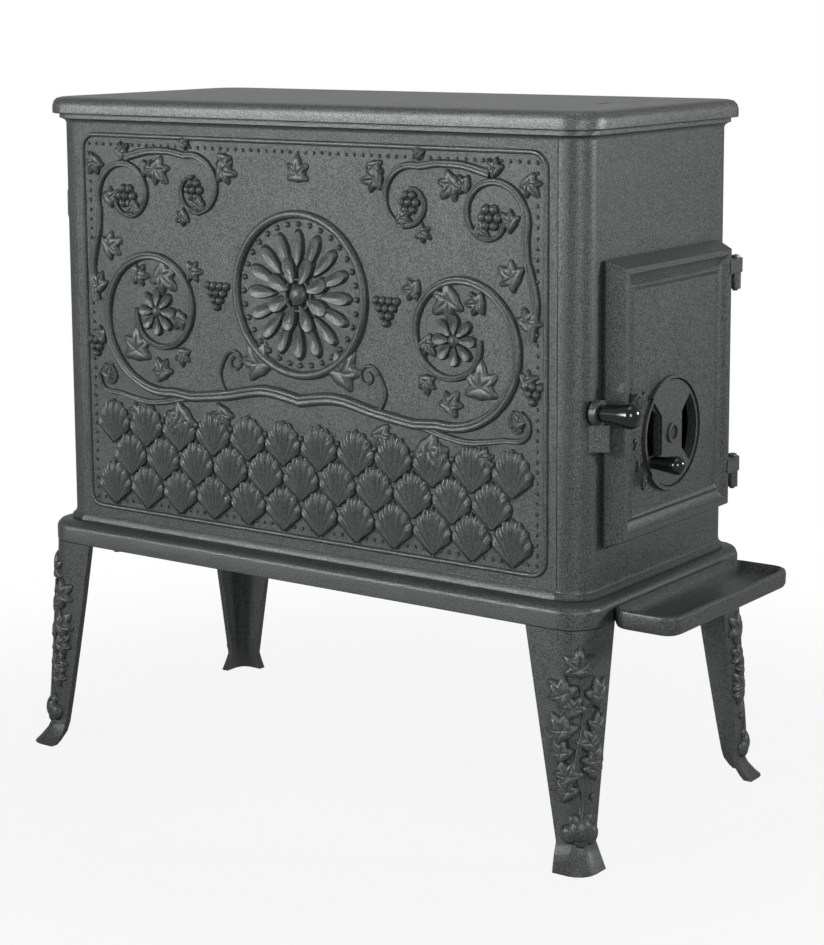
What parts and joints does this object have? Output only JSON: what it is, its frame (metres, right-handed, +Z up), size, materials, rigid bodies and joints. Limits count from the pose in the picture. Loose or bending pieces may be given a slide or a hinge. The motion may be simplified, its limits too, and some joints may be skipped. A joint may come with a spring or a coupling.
{
  "type": "wood stove",
  "caption": "Long cast-iron box wood stove on sabre legs, with ornamented sides, an end door with rotary air valve and lever latch, a lift-off cooking lid, an ash shelf and a rear flue collar.",
  "frame": {"origin": "on the floor under the centre of the bounding box, ash shelf and flue collar included", "axes": "+Z up, door faces -Y, flue collar points to +Y, the long ornamented sides face -X and +X"},
  "size_m": [0.365, 0.7912, 0.7],
  "materials": {
    "cast_iron_body": "dark grey-green stove paint over sand-cast iron, satin",
    "cast_iron_top": "dark grey-green stove paint over sand-cast iron, satin, lighter on the upward face",
    "cast_iron_firebox": "bare sand-cast iron, dull and sooty",
    "steel_fasteners": "blackened steel, satin",
    "knob_resin": "black phenolic resin, polished",
    "rope_seal": "woven glass-fibre rope, matt"
  },
  "bodies": {
    "stove": {"base_plate": "cast_iron_body", "leg_front_left": "cast_iron_body", "leg_front_right": "cast_iron_body", "leg_rear_left": "cast_iron_body", "leg_rear_right": "cast_iron_body", "front_plate": "cast_iron_body", "rear_plate": "cast_iron_body", "side_panel_right": "cast_iron_body", "side_panel_left": "cast_iron_body", "flue_collar": "cast_iron_body", "ash_shelf": "cast_iron_body", "latch_keeper": "cast_iron_body", "top_plate": "cast_iron_top", "liner_right": "cast_iron_firebox", "liner_left": "cast_iron_firebox", "floor_plate": "cast_iron_firebox", "baffle_plate": "cast_iron_firebox", "log_lip": "cast_iron_firebox", "leg_bolt_front_left": "steel_fasteners", "leg_bolt_front_right": "steel_fasteners", "leg_bolt_rear_left": "steel_fasteners", "leg_bolt_rear_right": "steel_fasteners", "tie_rod_front_left": "steel_fasteners", "tie_rod_front_right": "steel_fasteners", "tie_rod_rear_left": "steel_fasteners", "tie_rod_rear_right": "steel_fasteners", "tie_nut_front_left": "steel_fasteners", "tie_nut_front_right": "steel_fasteners", "tie_nut_rear_left": "steel_fasteners", "tie_nut_rear_right": "steel_fasteners", "collar_bolt_left": "steel_fasteners", "collar_bolt_right": "steel_fasteners", "shelf_bolt_left": "steel_fasteners", "shelf_bolt_right": "steel_fasteners", "hinge_pin_upper": "steel_fasteners", "hinge_pin_lower": "steel_fasteners"},
    "door": {"door": "cast_iron_body", "door_gasket": "rope_seal", "door_wear_strip": "steel_fasteners", "wear_strip_screw_upper": "steel_fasteners", "wear_strip_screw_lower": "steel_fasteners", "air_valve_rivet": "steel_fasteners", "latch_pivot_screw": "steel_fasteners"},
    "air_valve": {"air_valve": "cast_iron_body", "air_valve_stud": "steel_fasteners", "air_valve_knob": "knob_resin"},
    "latch": {"latch_lever": "cast_iron_body", "latch_knob_stud": "steel_fasteners", "latch_knob": "knob_resin"},
    "hotplate": {"hotplate": "cast_iron_top"}
  },
  "joints": [
    {"name": "door_hinge", "type": "hinge", "parent": "stove", "child": "door", "pos_m": [0.121, -0.32635, 0.4285], "axis": [0, 0, 1], "range_deg": [0, 110]},
    {"name": "latch_pivot", "type": "hinge", "parent": "door", "child": "latch", "pos_m": [-0.086, -0.33535, 0.43], "axis": [0, 1, 0], "range_deg": [0, 18]},
    {"name": "air_valve_turn", "type": "hinge", "parent": "door", "child": "air_valve", "pos_m": [-0.0105, -0.329, 0.3905], "axis": [0, 1, 0], "range_deg": [0, 86]},
    {"name": "hotplate_lift", "type": "slide", "parent": "stove", "child": "hotplate", "axis": [0, 0, 1], "range_m": [0, 0.2]}
  ]
}
